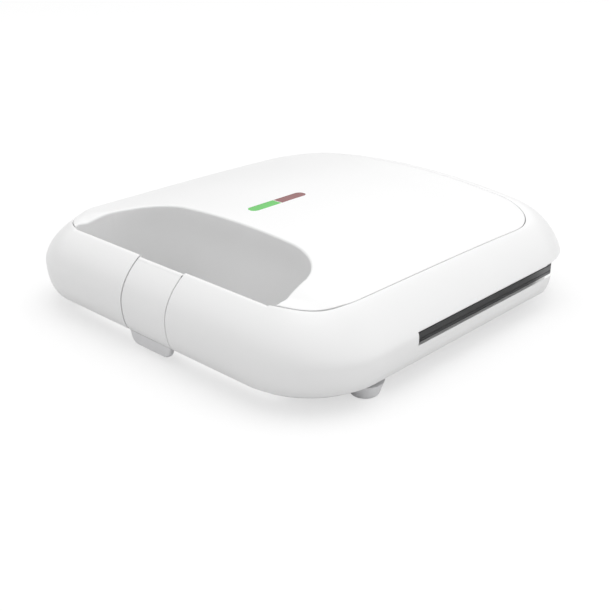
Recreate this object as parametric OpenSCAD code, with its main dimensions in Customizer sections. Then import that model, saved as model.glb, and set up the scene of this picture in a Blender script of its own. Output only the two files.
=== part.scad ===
// Sandwich toaster: a low pebble-shaped press for two slices, with a through
// grip behind its front bar, a sprung latch, and a lid that hinges at the back.
// Millimetres. +Z is up, -Y is the grip side, and the table is at z = 0.

/* [Body] */
// Width of the closed body, side to side
body_w = 235; // [225:1:250]
// Depth of the closed body, grip bar to hinge
body_d = 240; // [232:1:252]
// Height of the crown of the lid above the table
body_h = 58; // [56:0.5:64]
// Height of the widest line of the side above the table
waist_z = 26; // [25:0.5:28]
// Gap under the body, which the feet fill
foot_h = 7.5; // [6:0.5:9]
// Plan radius of the two grip-side corners
front_r = 46; // [40:1:50]
// Plan radius of the two hinge-side corners
back_r = 50; // [40:1:54]
// Fall of the lid's crown from its middle to the edge of the top panel
crown_drop = 10.4; // [6:0.2:12]
// Fall of the lid's crown from its middle to the back edge of the top panel
back_drop = 2; // [0:0.2:4]
// Inward run of the rounding of the side
side_run = 17.5; // [15:0.5:22]
// Inward run of the rounding of the grip side
front_run = 46; // [40:1:50]
// Inward run of the rounding of the hinge side
back_run = 24; // [18:1:30]
// Fullness of the rounding of the side (1 is a straight slope, 2 an ellipse)
side_full = 1.25; // [1.1:0.05:2.2]
// Fullness of the rounding of the grip side
front_full = 1.89; // [1.6:0.05:2.2]
// Fullness of the rounding below the widest line
under_full = 2.2; // [1.8:0.1:2.6]
// Inward run of the rounding below the widest line
under_run = 8.4; // [6:0.2:10]
// Wall of the lid mouldings
lid_wall = 2.5; // [2:0.1:3]
// Height of the lower edge of the lid's skirt
skirt_z = 10; // [9.5:0.1:11]
// Wall of the base moulding
base_wall = 2.2; // [1.8:0.1:2.6]
// Inset of the base behind the lid's widest line
base_inset = 7.6; // [7.4:0.1:8.6]

/* [Top panel and grip] */
// Depth of the grip bar, front to back
bar_d = 15; // [13:0.5:18]
// Distance of the grip opening's front corners inside the side
grip_side_in = 39.5; // [37:0.5:46]
// Narrowing of each side of the grip opening towards its back corners
grip_taper = 3.5; // [2:0.5:7]
// Depth of the grip opening
grip_d = 49.5; // [46:0.5:52]
// Radius of the back corners of the grip opening
grip_back_r = 34; // [26:1:38]
// Radius of the front corners of the grip opening
grip_front_r = 3; // [3:0.5:6]
// Width of the groove round the top panel
groove_w = 0.6; // [0.4:0.1:1]
// Plan radius of the front corners of the top panel
panel_front_r = 34; // [31:0.5:40]
// Plan radius of the back corners of the top panel
panel_back_r = 34; // [26:1:40]

/* [Plates] */
// Distance of a plate's side inside the widest line of the body
plate_in = 7; // [6.7:0.1:9]
// Distance of the plates behind the grip opening
plate_front_in = 15.5; // [14:0.5:17]
// Distance of the plates in front of the hinge side
plate_back_in = 32; // [31:0.5:36]
// Radius of a plate's corners in plan
plate_r = 3; // [3:0.5:8]
// Height of the plane where the plates meet
meet_z = 22.5; // [22:0.1:23.5]
// Gap between the two closed plates
plate_gap = 0.6; // [0.4:0.1:1]
// Wall of a cooking plate
plate_wall = 1.8; // [1.4:0.1:2]
// Height of the outer rim of a cooking plate
rim_h = 5.2; // [4.4:0.1:5.4]
// Margin of a plate beside its pockets
plate_margin = 11.5; // [11:0.5:14]
// Margin of a plate in front of its pockets and behind them
plate_end_margin = 12; // [11.5:0.5:15]
// Bread space above the lower plate's pocket floor
lower_pocket_h = 8.4; // [7:0.1:8.6]
// Height of the room between the upper pockets' floor and the crown
lid_room = 25.2; // [24.6:0.2:28]
// Width of the web between the two pockets
web_w = 10; // [9:0.5:11]
// Radius of the heater tube
heater_r = 3; // [2.6:0.1:3.1]

/* [Side window] */
// Distance of the front end of the window behind the grip side
window_front_in = 73.3; // [72:0.1:80]
// Distance of the back end of the window in front of the hinge side
window_back_in = 45.8; // [44:0.2:52]
// Lower edge of the window
window_z0 = 21; // [20:0.1:22]
// Upper edge of the window
window_z1 = 28.3; // [27:0.1:30]

/* [Hinge] */
// Height of the hinge axis
hinge_z = 22.5; // [22:0.1:23]
// Distance of the hinge axis in front of the hinge side
hinge_in = 3.2; // [3.1:0.1:4]
// Radius of a hinge barrel
barrel_r = 3; // [2.8:0.1:3]
// Radius of a hinge pin
hinge_pin_r = 1.5; // [1.2:0.1:1.7]
// Distance of the inner end of each base ear inside the side
ear_side_in = 73.5; // [70:0.5:82]
// Width of one hinge ear
ear_w = 8; // [6:0.5:9]
// Radial clearance of a pin that turns
run_fit = 0.05; // [0.02:0.01:0.08]

/* [Latch] */
// Width of the latch band
latch_w = 34.2; // [30:0.2:40]
// Gap each side of the latch band
latch_gap = 0.5; // [0.4:0.1:0.8]
// Wall of the latch band
latch_wall = 2.2; // [1.8:0.1:2.6]
// Distance of the latch pin behind the front
latch_pin_in = 10.2; // [10.1:0.05:10.3]
// Depth of the latch pin below the crown
latch_pin_down = 20.5; // [20:0.1:21]
// Radius of the latch pin
latch_pin_r = 1; // [0.8:0.1:1.2]
// Radius of the bosses round the latch pin
latch_boss_r = 1.9; // [1.8:0.1:2]
// Height of the lowest point of the latch tab
tab_z = 3.3; // [2.5:0.1:4.5]

/* [Indicator] */
// Middle of the indicator bar, sideways
lamp_x = -7; // [-20:1:10]
// Front end of the indicator bar
lamp_y0 = -38; // [-42:1:-30]
// Length of the indicator bar
lamp_len = 43; // [36:1:46]
// Width of the indicator bar
lamp_w = 7.6; // [5:0.2:8]

/* [Feet] */
// Distance of a front foot inside the side
foot_side_in = 13.5; // [13:0.5:20]
// Distance of a back foot inside the side
back_foot_side_in = 27.5; // [20:0.5:40]
// Distance of a front foot behind the grip side
foot_front_in = 50; // [46:1:56]
// Distance of a back foot in front of the hinge side
foot_back_in = 40; // [36:1:50]
// Radius of a foot where it meets the body
foot_top_r = 9.5; // [8:0.5:10]
// Radius of a foot on the table
foot_pad_r = 7.5; // [5:0.5:8]

/* [Hidden] */

eps = 0.01;
half_w = body_w / 2;
half_d = body_d / 2;
// Fine steps round a corner, along a straight side and up the body
corner_steps = 10;
run_steps = 6;
under_steps = 4;
over_steps = 9;
crown_steps = 6;
// The crown's own middle, and its reach to the panel edge
crown_y = -12;
crown_reach = half_w - side_run;
// Round shapes
$fn = 48;

// Window, grip and feet in the body's frame
window_y0 = -half_d + window_front_in;
window_y1 = half_d - window_back_in;
grip_half_w = half_w - grip_side_in;
grip_back_half_w = grip_half_w - grip_taper;
foot_x = half_w - foot_side_in;
back_foot_x = half_w - back_foot_side_in;
front_foot_y = half_d - foot_front_in;
back_foot_y = half_d - foot_back_in;
ear_x = half_w - ear_side_in;

// Mouldings
panel_half_w = half_w - side_run;
panel_back_y = half_d - back_run;
bar_back_y = -half_d + bar_d;
panel_front_y = bar_back_y - 1.2;
// The bar stays level sideways, and the crown's fall starts over this run behind it
level_run = 10;
bar_slab = 2.5;
bar_slab_z = meet_z - 3.5;
liner_z = skirt_z;
base_top_z = meet_z - rim_h - plate_gap / 2 - 0.5;
base_back_z = window_z1 - 1.1;
plate_clear = 0.8;
base_floor_z = foot_h + 2;
sleeve_gap = 0.6;
seat_gap = 0.3;

// Plates
plate_front_y = bar_back_y + grip_d + plate_front_in;
plate_back_y = half_d - plate_back_in;
plate_y = (plate_front_y + plate_back_y) / 2;
plate_w = body_w - 2 * plate_in;
plate_d = plate_back_y - plate_front_y;
pocket_w = (plate_w - web_w) / 2 - plate_margin;
pocket_d = plate_d - 2 * plate_end_margin;
pocket_r = 8;
low_meet = meet_z - plate_gap / 2;
up_meet = meet_z + plate_gap / 2;
upper_pocket_h = body_h - lid_room - up_meet;
pocket_x = (pocket_w + web_w) / 2;
ridge_h = 1.2;
post_y = pocket_d / 2 - 16;
post_r = 2.9;
post_h = 6;
screw_r = 1.5;
head_r = 2.8;
head_h = 1.6;
sheet_t = 0.6;

// Heater
heater_x = (pocket_x + pocket_w / 2 + plate_wall + plate_w / 2 - 2) / 2;
heater_y = (pocket_d / 2 + plate_wall + plate_d / 2 - 2) / 2;
heater_drop = plate_wall + heater_r + 0.1;
heater_corner_r = 12;
heater_end_x = 14;
heater_end_r = 6;
heater_tail = 2;
terminal_l = 5;
seal_r = heater_r + 0.9;

// Hinge
hinge_y = half_d - hinge_in;
ear_gap = 0.3;
hinge_pin_l = 2 * ear_w + ear_gap + 0.2;
leaf_t = 1.7;
leaf_h = 11.4;
leaf_y = hinge_y - barrel_r;
leaf_screw_z = hinge_z + 8;

// Lid interior
// Upper face of the shell's panel tabs, their places and their screws
tab_top = body_h - crown_drop - 5.1;
panel_tab_y = [plate_y - 43, plate_y + 42];
panel_screw_x = panel_half_w - 4;
pan_z = up_meet + upper_pocket_h + plate_wall + 1.4;
pan_boss_x = plate_w / 2 - 24.5;
pan_boss_dy = pocket_d / 2 - 8;
thermostat_at = [pocket_x - 2, plate_y + 12];
fuse_at = [6 - pocket_x, plate_y + 16];

// Latch
latch_pin_y = -half_d + latch_pin_in;
latch_pin_z = body_h - latch_pin_down;
bar_top_z = over_point([0, -half_d, 0, -1], asin(pow(1 - bar_d / front_run, front_full / 2)), 0)[2];
latch_ear_w = 6;
latch_pin_l = latch_w + 2 * latch_gap + 2 * latch_ear_w;

// Indicator
lamp_split = 0.3;
board_z = body_h - lid_wall - 6.5;
board_t = 1.6;

// ---- Plan outline of the body: points with outward normals ----

// A quarter circle of the outline, from angle a0
function corner(cx, cy, r, a0) =
    [for (k = [0 : corner_steps])
        let (a = a0 + 90 * k / corner_steps)
        [cx + r * cos(a), cy + r * sin(a), cos(a), sin(a)]];

// A straight stretch of the outline, without its two ends
function stretch(a, b, nx, ny) =
    [for (k = [1 : run_steps - 1])
        let (f = k / run_steps)
        [a[0] + (b[0] - a[0]) * f, a[1] + (b[1] - a[1]) * f, nx, ny]];

plan = let (
    fr = front_r, br = back_r,
    xf = half_w - fr, yf = -half_d + fr, xb = half_w - br, yb = half_d - br
) concat(
    corner(xf, yf, fr, -90),
    stretch([half_w, yf], [half_w, yb], 1, 0),
    corner(xb, yb, br, 0),
    stretch([xb, half_d], [-xb, half_d], 0, 1),
    corner(-xb, yb, br, 90),
    stretch([-half_w, yb], [-half_w, yf], -1, 0),
    corner(-xf, yf, fr, 180),
    stretch([-xf, -half_d], [xf, -half_d], 0, -1)
);

// The outline drawn in by a distance, as plain points
function inset_plan(d) = [for (q = plan) [q[0] - q[2] * d, q[1] - q[3] * d]];

// ---- Skin of the body ----

// A value that goes from side to front or back with the outline's normal
function round_value(side, front, back, ny) =
    side + (front - side) * pow(max(-ny, 0), 2) + (back - side) * pow(max(ny, 0), 2);

// Height of the lid's crown at a point of the plan
function crown_z(x, y) =
    body_h - crown_drop * pow(x / crown_reach, 2)
    - back_drop * pow(max(y - crown_y, 0) / (panel_back_y - crown_y), 2);

// Offset under the widest line at a height
function under_in(z) =
    under_run * (1 - pow(1 - pow((waist_z - z) / (waist_z - foot_h), under_full), 1 / under_full));

// Ring of points at height z below the widest line, t inside the skin
function under_ring(z, t, in_z) =
    let (d = under_in(in_z) + t) [for (q = plan) [q[0] - q[2] * d, q[1] - q[3] * d, z]];

// Point of the rounding above the widest line: a is 90 there and 0 at the panel
function over_point(q, a, t) =
    let (
        full = round_value(side_full, front_full, front_full, q[3]),
        run = round_value(side_run, front_run, back_run, q[3]),
        d = run * (1 - pow(sin(a), 2 / full)) + t,
        k = 1 - pow(cos(a), 2 / full),
        crown = crown_z(q[0] - q[2] * (run + t), q[1] - q[3] * (run + t)),
        f = min(max((bar_d + level_run - d) / level_run, 0), 1),
        edge = crown + (body_h - crown) * pow(max(-q[3], 0), 5) * f * f * (3 - 2 * f) - t
    ) [q[0] - q[2] * d, q[1] - q[3] * d, edge * (1 - k) + waist_z * k];

// Ring of points on the crown, f of the way in from the panel edge
function crown_ring(f, t) =
    [for (q = plan)
        let (
            p = over_point(q, 0, t),
            x = p[0] * (1 - f),
            y = crown_y + (p[1] - crown_y) * (1 - f)
        ) [x, y, crown_z(x, y) - t]];

// All rings of the skin from the lower edge to the middle of the crown
function skin_rings(t, drop) = concat(
    drop > 0 ? [under_ring(skirt_z - drop, t, skirt_z)] : [],
    [for (j = [0 : under_steps - 1])
        let (z = skirt_z + (waist_z - skirt_z) * j / under_steps) under_ring(z, t, z)],
    [for (j = [0 : over_steps])
        let (a = 90 - 90 * j / over_steps) [for (q = plan) over_point(q, a, t)]],
    [for (j = [1 : crown_steps]) crown_ring(0.98 * j / crown_steps, t)]
);

// Solid through a stack of rings, built slab by slab because every slab is convex
module loft(rings) {
    n = len(rings[0]);
    for (j = [0 : len(rings) - 2])
        hull() polyhedron(
            points = concat(rings[j], rings[j + 1]),
            faces = [[for (i = [0 : n - 1]) i], [for (i = [n - 1 : -1 : 0]) n + i]]
        );
}

module outer_solid() {
    loft(skin_rings(0, 0));
}

module inner_solid() {
    loft(skin_rings(lid_wall, 6));
}

// ---- Flat outlines ----

// Rectangle with round corners, centred
function round_rect(w, d, r) =
    [for (c = [[1, -1, -90], [1, 1, 0], [-1, 1, 90], [-1, -1, 180]]) for (k = [0 : 6])
        let (a = c[2] + 15 * k)
        [c[0] * (w / 2 - r) + r * cos(a), c[1] * (d / 2 - r) + r * sin(a)]];

// Points of an arc
function arc(cx, cy, r, a0, a1, steps) =
    [for (k = [0 : steps])
        let (a = a0 + (a1 - a0) * k / steps) [cx + r * cos(a), cy + r * sin(a)]];

// Outline of the grip opening, grown by g: straight at the bar, full round at the back
function grip_outline(g) =
    let (
        fx = grip_half_w - grip_front_r, fy = bar_back_y + grip_front_r,
        bx = grip_back_half_w - grip_back_r, by = bar_back_y + grip_d - grip_back_r,
        lean = atan2(fx - bx, by - fy) + asin((grip_back_r - grip_front_r) / norm([fx - bx, by - fy])) * -1,
        right = concat(
            arc(fx, fy, grip_front_r + g, -90, lean, 5),
            arc(bx, by, grip_back_r + g, lean, 90, 9)
        )
    ) concat(right, [for (i = [len(right) - 1 : -1 : 0]) [-right[i][0], right[i][1]]]);

// Outline of the top panel, drawn in by g. Its front ends in two tips at the grip
function panel_outline(g) =
    let (
        w = panel_half_w - g,
        fr = panel_front_r - g, fy = panel_front_y + panel_front_r,
        br = panel_back_r - g, by = panel_back_y - panel_back_r,
        y0 = bar_back_y + g,
        a0 = -acos((0 - (y0 - fy)) / fr) * 0 + asin((y0 - fy) / fr),
        right = concat(
            arc(w - fr, fy, fr, a0, 0, 8),
            arc(w - br, by, br, 0, 90, 8)
        )
    ) concat(right, [for (i = [len(right) - 1 : -1 : 0]) [-right[i][0], right[i][1]]]);

module prism(outline, z0, z1) {
    translate([0, 0, z0]) linear_extrude(z1 - z0) polygon(outline);
}

// Round bar along X from x0 to x1
module bar_x(r, x0, x1, y, z) {
    translate([x0, y, z]) rotate([0, 90, 0]) cylinder(r = r, h = x1 - x0);
}

// Copy at the left as well as the right
module both_sides() {
    children();
    mirror([1, 0, 0]) children();
}

// Copies at the middles of the four feet
module at_feet() {
    for (p = [[foot_x, -front_foot_y], [back_foot_x, back_foot_y]]) for (x = [-1, 1])
        translate([x * p[0], p[1], 0]) children();
}

// ---- Base ----

module base_walls() {
    difference() {
        prism(inset_plan(base_inset), foot_h, base_back_z);
        prism(inset_plan(base_inset + base_wall), base_floor_z, body_h);
        // Walls are low beside the plates and at the bar
        translate([-half_w, -half_d, base_top_z])
            cube([body_w, half_d + plate_back_y + plate_clear, body_h]);
    }
}

// Sleeve of the base outside the lid's liner, and the back wall of the base's bar
module base_grip_wall() {
    hole = lid_wall + sleeve_gap;
    half = grip_half_w + hole + base_wall;
    difference() {
        union() {
            intersection() {
                prism(grip_outline(hole + base_wall), foot_h, base_top_z);
                translate([-half, bar_back_y - base_wall, 0]) cube([2 * half, grip_d + 20, body_h]);
            }
            translate([-half, bar_back_y - base_wall, foot_h])
                cube([2 * half, base_wall, bar_slab_z - 0.5 - foot_h]);
        }
        intersection() {
            prism(grip_outline(hole), base_floor_z, body_h);
            translate([-half, bar_back_y, 0]) cube([2 * half, grip_d + 20, body_h]);
        }
        prism(grip_outline(0), foot_h - 1, body_h);
    }
}

// Ear of the base with its foot on the back wall
module base_ear() {
    wall_y = half_d - base_inset - base_wall / 2;
    bar_x(barrel_r, ear_x, ear_x + ear_w, hinge_y, hinge_z);
    translate([ear_x, wall_y, hinge_z - barrel_r - 4])
        cube([ear_w, hinge_y - wall_y, barrel_r + 4]);
}

module base_shell() {
    color("white") difference() {
        union() {
            difference() {
                base_walls();
                prism(grip_outline(0), foot_h - 1, meet_z);
            }
            base_grip_wall();
            both_sides() base_ear();
            // Bosses for the plate screws
            for (s = [-1, 1]) translate([0, plate_y + s * post_y, foot_h])
                cylinder(r = post_r, h = low_meet - plate_wall - post_h - seat_gap - foot_h);
            // Cradle that carries the terminal block
            translate([-block_w / 2 - 1, block_y - 2.3, base_floor_z - eps]) cube([block_w + 2, 2, 3]);
        }
        bar_x(hinge_pin_r, -half_w, half_w, hinge_y, hinge_z);
        for (s = [-1, 1]) translate([0, plate_y + s * post_y, foot_h - 1])
            cylinder(r = screw_r + 0.1, h = 30);
        for (s = [-1, 1]) translate([0, plate_y + s * post_y, foot_h - 1])
            cylinder(r = head_r + 0.2, h = head_h + 1.2);
        // Cord inlet hole
        translate([inlet_x, half_d - base_inset - base_wall - 2, inlet_z]) rotate([-90, 0, 0])
            cylinder(r = inlet_r, h = base_wall + 4);
        // Recess that the latch nib drops into
        translate([-13, -half_d + base_inset - 1, skirt_z - 0.2]) cube([26, 2.1, 3.2]);
        at_feet() translate([0, 0, foot_h - 1]) cylinder(r = screw_r + 0.1, h = 4);
    }
}

// Terminal block, in front of the back wall
block_w = 36;
block_d = 10;
block_y = half_d - base_inset - base_wall - 0.5 - block_d;
block_x = [-12, 0, 12];
block_screw_y = block_y + block_d / 2;

inlet_x = -27;
inlet_z = 16.2;
inlet_r = 5;
inlet_bore_r = 3.4;

module cord_inlet() {
    wall_out = half_d - base_inset;
    wall_in = wall_out - base_wall;
    color("dimgray") translate([inlet_x, 0, inlet_z]) rotate([-90, 0, 0]) difference() {
        union() {
            translate([0, 0, wall_in - 4]) cylinder(r = inlet_r - 0.05, h = base_wall + 8);
            translate([0, 0, wall_out + 0.1]) cylinder(r = inlet_r + 1.3, h = 1.8);
            translate([0, 0, wall_in - 1.9]) cylinder(r = inlet_r + 1.3, h = 1.8);
        }
        cylinder(r = inlet_bore_r, h = body_d);
    }
}

// ---- Plates ----

// Cooking plate with its meeting face at z = 0 and its body above
module plate(pocket_h) {
    difference() {
        union() {
            prism(round_rect(plate_w, plate_d, plate_r), 0, plate_wall);
            difference() {
                prism(round_rect(plate_w, plate_d, plate_r), 0, rim_h);
                prism(round_rect(plate_w - 4, plate_d - 4, plate_r - 2), -1, rim_h + 1);
                // Way out for the heater's two tails
                translate([-heater_end_x - seal_r - 0.5, plate_d / 2 - 4, plate_wall])
                    cube([2 * (heater_end_x + seal_r + 0.5), 6, rim_h]);
            }
            both_sides() translate([pocket_x, 0, 0])
                prism(round_rect(pocket_w + 2 * plate_wall, pocket_d + 2 * plate_wall,
                    pocket_r + plate_wall), 0, pocket_h + plate_wall);
            for (s = [-1, 1]) translate([0, s * post_y, 0]) cylinder(r = post_r, h = plate_wall + post_h);
        }
        both_sides() translate([pocket_x, 0, 0])
            prism(round_rect(pocket_w, pocket_d, pocket_r), -1, pocket_h);
        for (s = [-1, 1]) translate([0, s * post_y, plate_wall])
            cylinder(r = screw_r + 0.05, h = post_h + 1);
        // Lip line round the rim
        difference() {
            prism(round_rect(plate_w + 2, plate_d + 2, plate_r + 1), 3, 3.6);
            prism(round_rect(plate_w - 1, plate_d - 1, plate_r - 0.5), 2, 5);
        }
    }
    // Ridge that cuts each sandwich corner to corner
    both_sides() translate([pocket_x, 0, 0]) intersection() {
        prism(round_rect(pocket_w, pocket_d, pocket_r), ridge_h, pocket_h + eps);
        rotate([0, 0, atan2(pocket_d, pocket_w)]) rotate([90, 0, 90])
            translate([0, 0, -pocket_d]) linear_extrude(2 * pocket_d)
            polygon([[-7, pocket_h + eps], [7, pocket_h + eps], [1.2, ridge_h], [-1.2, ridge_h]]);
    }
}

module lower_plate() {
    color("#3c3c3e") translate([0, plate_y, low_meet]) mirror([0, 0, 1]) plate(lower_pocket_h);
}

module upper_plate() {
    color("#3c3c3e") translate([0, plate_y, up_meet]) plate(upper_pocket_h);
}

// Quarter turn of the heater tube, centred on the turn
module tube_turn(turn_r, r, a0) {
    rotate([0, 0, a0]) rotate_extrude(angle = 90) translate([turn_r, 0]) circle(r = r);
}

// Heater loop round both pockets, open at the back, with two tails
module heater_loop() {
    w = heater_x;
    d = heater_y;
    c = heater_corner_r;
    e = heater_end_r;
    tail_y = plate_d / 2 + heater_tail;
    both_sides() {
        translate([0, -d, 0]) rotate([0, 90, 0]) cylinder(r = heater_r, h = w - c);
        translate([w - c, -d + c, 0]) tube_turn(c, heater_r, -90);
        translate([w, -d + c, 0]) rotate([-90, 0, 0]) cylinder(r = heater_r, h = 2 * d - 2 * c);
        translate([w - c, d - c, 0]) tube_turn(c, heater_r, 0);
        translate([heater_end_x + e, d, 0]) rotate([0, 90, 0])
            cylinder(r = heater_r, h = w - c - heater_end_x - e);
        translate([heater_end_x + e, d + e, 0]) tube_turn(e, heater_r, 180);
        translate([heater_end_x, d + e, 0]) rotate([-90, 0, 0])
            cylinder(r = heater_r, h = tail_y - d - e);
    }
}

// Ceramic bush on each heater tail, with its flat terminal
module heater_seals() {
    y = plate_d / 2 + heater_tail;
    both_sides() translate([heater_end_x, y, 0]) {
        rotate([-90, 0, 0]) cylinder(r = heater_r - 0.4, h = 4);
        translate([-2.4, 4, -0.4]) cube([4.8, terminal_l, 0.8]);
    }
}

module at_lower_heater() {
    translate([0, plate_y, low_meet - heater_drop]) children();
}

module at_upper_heater() {
    translate([0, plate_y, up_meet + heater_drop]) children();
}

module lower_heater() { color("silver") at_lower_heater() heater_loop(); }

module upper_heater() { color("silver") at_upper_heater() heater_loop(); }

module lower_heater_seals() { color("wheat") at_lower_heater() heater_seals(); }

module upper_heater_seals() { color("wheat") at_upper_heater() heater_seals(); }

module lower_reflector() {
    color("gainsboro") translate([0, plate_y, 0]) difference() {
        prism(round_rect(plate_w - 14, plate_d - 14, plate_r), base_floor_z + seat_gap,
            base_floor_z + seat_gap + sheet_t);
        for (s = [-1, 1]) translate([0, s * post_y, 0]) cylinder(r = post_r + 0.8, h = body_h);
    }
}

// Pressed pan behind the upper plate, which carries it
module upper_reflector() {
    color("gainsboro") translate([0, plate_y, 0]) difference() {
        union() {
            difference() {
                prism(round_rect(plate_w - 12, plate_d - 10, plate_r), pan_z - 3, pan_z + sheet_t);
                prism(round_rect(plate_w - 12 - 2 * sheet_t, plate_d - 10 - 2 * sheet_t,
                    plate_r - sheet_t), pan_z - 4, pan_z);
            }
            for (s = [-1, 1]) translate([0, s * post_y, up_meet + plate_wall + post_h + seat_gap])
                cylinder(r = post_r, h = pan_z - up_meet - plate_wall - post_h);
        }
        for (s = [-1, 1]) translate([0, s * post_y, 0]) cylinder(r = screw_r + 0.1, h = body_h);
        translate([thermostat_at[0], thermostat_at[1] - plate_y, pan_z - 1]) cylinder(r = 9.5, h = 4);
        for (x = [-1, 1]) for (y = [-1, 1]) translate([x * pan_boss_x, y * pan_boss_dy, pan_z - 1])
            cylinder(r = screw_r + 0.1, h = 4);
    }
}

// Pan-head screw with its head's seat at z = 0 and its shank above
module screw(length) {
    cylinder(r = screw_r, h = length);
    translate([0, 0, -head_h]) difference() {
        cylinder(r = head_r, h = head_h);
        translate([-2, -0.35, -eps]) cube([4, 0.7, 0.8]);
        translate([-0.35, -2, -eps]) cube([0.7, 4, 0.8]);
    }
}

// Screws that hold the pan to the posts of the top panel
module pan_screws() {
    color("silver") for (x = [-1, 1]) for (y = [-1, 1])
        translate([x * pan_boss_x, plate_y + y * pan_boss_dy, pan_z]) {
            cylinder(r = 1.15, h = 5);
            translate([0, 0, -0.9]) cylinder(r = 2.2, h = 0.8);
            translate([0, 0, -0.2]) cylinder(r = 1.15, h = 0.3);
        }
}

module lower_plate_screws() {
    seat = foot_h + head_h + 0.2;
    color("silver") for (s = [-1, 1]) translate([0, plate_y + s * post_y, seat])
        screw(low_meet - plate_wall - 1 - seat);
}

module upper_plate_screws() {
    seat = pan_z + sheet_t + 0.4;
    color("silver") for (s = [-1, 1]) translate([0, plate_y + s * post_y, seat]) mirror([0, 0, 1])
        screw(seat - up_meet - plate_wall - 1);
}

// ---- Base parts ----

module terminal_block() {
    color("ivory") difference() {
        translate([-block_w / 2, block_y, base_floor_z + 0.1]) cube([block_w, block_d, 9]);
        for (x = block_x) {
            translate([x, block_screw_y, base_floor_z + 4]) cylinder(r = 2.3, h = 8);
            translate([x, block_y - 1, base_floor_z + 5]) rotate([-90, 0, 0]) cylinder(r = 1.6, h = block_d + 2);
        }
    }
}

module terminal_screws() {
    color("silver") for (x = block_x) translate([x, block_screw_y, base_floor_z + 4.1]) difference() {
        cylinder(r = 2.2, h = 4);
        translate([-3, -0.35, 3]) cube([6, 0.7, 2]);
    }
}

// Insulated leads from the terminal block to the lower heater
module lower_leads() {
    flat_y = plate_back_y + heater_tail + 4;
    flat_z = low_meet - heater_drop - 0.4 - 1.32;
    z = base_floor_z + 5;
    color("firebrick") both_sides() wire([
        [heater_end_x, flat_y + 0.8, flat_z], [heater_end_x, flat_y + terminal_l - 2, flat_z],
        [block_x[2], block_y + 0.4, z], [block_x[2], block_screw_y - 2.6, z]
    ], 1.1);
}

module hinge_pins() {
    color("silver") both_sides()
        bar_x(hinge_pin_r - 0.01, ear_x, ear_x + hinge_pin_l, hinge_y, hinge_z);
}

// Tapered foot with a rounded lower edge
module foot() {
    edge = 2;
    rotate_extrude() polygon(concat(
        [[0, 0]],
        arc(foot_pad_r - edge, edge, edge, -90, -15, 5),
        [[foot_top_r, foot_h], [head_r + 0.4, foot_h], [head_r + 0.4, 4], [screw_r + 0.2, 4], [0, 4]]
    ));
}

module front_feet() {
    color("#b9b9b9") for (x = [-1, 1]) translate([x * foot_x, -front_foot_y, 0]) foot();
}

module rear_feet() {
    color("#b9b9b9") for (x = [-1, 1]) translate([x * back_foot_x, back_foot_y, 0]) foot();
}

module foot_screws() {
    color("silver") at_feet() translate([0, 0, 5.9]) screw(base_floor_z - 5.8);
}

// ---- Lid ----

// Slab that closes the grip bar at the back
module bar_back() {
    translate([-grip_half_w, bar_back_y - bar_slab, bar_slab_z])
        cube([2 * grip_half_w, bar_slab, body_h]);
}

module lid_shell() {
    color("white") difference() {
        union() {
            difference() {
                outer_solid();
                difference() {
                    inner_solid();
                    bar_back();
                }
                prism(panel_outline(0), bar_slab_z, body_h + 5);
                prism(grip_outline(0), 0, body_h + 5);
                // Windows that show the plate rims
                both_sides() translate([half_w - 14, window_y0, window_z0])
                    cube([20, window_y1 - window_y0, window_z1 - window_z0]);
                // Front of the bar gives way to the latch
                translate([-latch_w / 2 - latch_gap, -half_d - 1, 0])
                    cube([latch_w + 2 * latch_gap, bar_d - bar_slab + 1, body_h]);
                translate([-latch_w / 2 - latch_gap, bar_back_y - bar_slab - 1, latch_pin_z + 0.3])
                    cube([latch_w + 2 * latch_gap, bar_slab + 2, body_h]);
                // The slot's upper edge runs on round the back
                translate([-half_w - 1, window_y1, 0]) cube([body_w + 2, half_d, window_z1]);
            }
            // Tabs under the edge of the top panel
            both_sides() for (y = panel_tab_y)
                translate([panel_half_w - 8, y - 6, tab_top - 2]) cube([14.2, 12, 2]);
        }
        both_sides() for (y = panel_tab_y)
            translate([panel_screw_x, y, tab_top - 3]) cylinder(r = 1.1, h = 4);
    }
}

module panel_screws() {
    color("silver") both_sides() for (y = panel_tab_y)
        translate([panel_screw_x, y, tab_top - 2.1]) {
            cylinder(r = 1, h = 4);
            translate([0, 0, -1]) cylinder(r = 2, h = 1);
        }
}

module lid_top_panel() {
    color("white") difference() {
        union() {
            difference() {
                intersection() {
                    outer_solid();
                    prism(panel_outline(groove_w), liner_z, body_h + 5);
                }
                difference() {
                    inner_solid();
                    prism(grip_outline(lid_wall), 0, body_h + 5);
                }
                prism(grip_outline(0), 0, body_h + 5);
            }
            // Posts for the screws through the shell's tabs
            both_sides() for (y = panel_tab_y) translate([panel_screw_x, y, tab_top + 0.2])
                cylinder(r = 2.2, h = crown_z(panel_screw_x + 2.2, y) - 1 - tab_top);
            // Posts that carry the lamp board
            for (y = [lamp_y0 - 4, lamp_y0 + lamp_len + 4]) translate([lamp_x, y, board_z + board_t + 0.1])
                cylinder(r = 2, h = body_h - lid_wall - board_z - board_t + 0.3);
            // Posts that carry the pan behind the upper plate
            for (x = [-1, 1]) for (y = [-1, 1])
                translate([x * pan_boss_x, plate_y + y * pan_boss_dy, pan_z + sheet_t + 0.1])
                cylinder(r = 3.2, h = crown_z(pan_boss_x + 3.2, plate_y + 50) - 1 - pan_z - sheet_t);
        }
        prism(lamp_outline(0.15, lamp_y0, lamp_y0 + lamp_len), body_h - 8, body_h + 1);
        for (x = [-1, 1]) for (y = [-1, 1])
            translate([x * pan_boss_x, plate_y + y * pan_boss_dy, pan_z]) cylinder(r = 1.2, h = 6);
        for (y = [lamp_y0 - 4, lamp_y0 + lamp_len + 4]) translate([lamp_x, y, board_z])
            cylinder(r = 0.8, h = 5);
        both_sides() for (y = panel_tab_y) translate([panel_screw_x, y, tab_top - 1])
            cylinder(r = 1, h = 3.4);
    }
}

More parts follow.
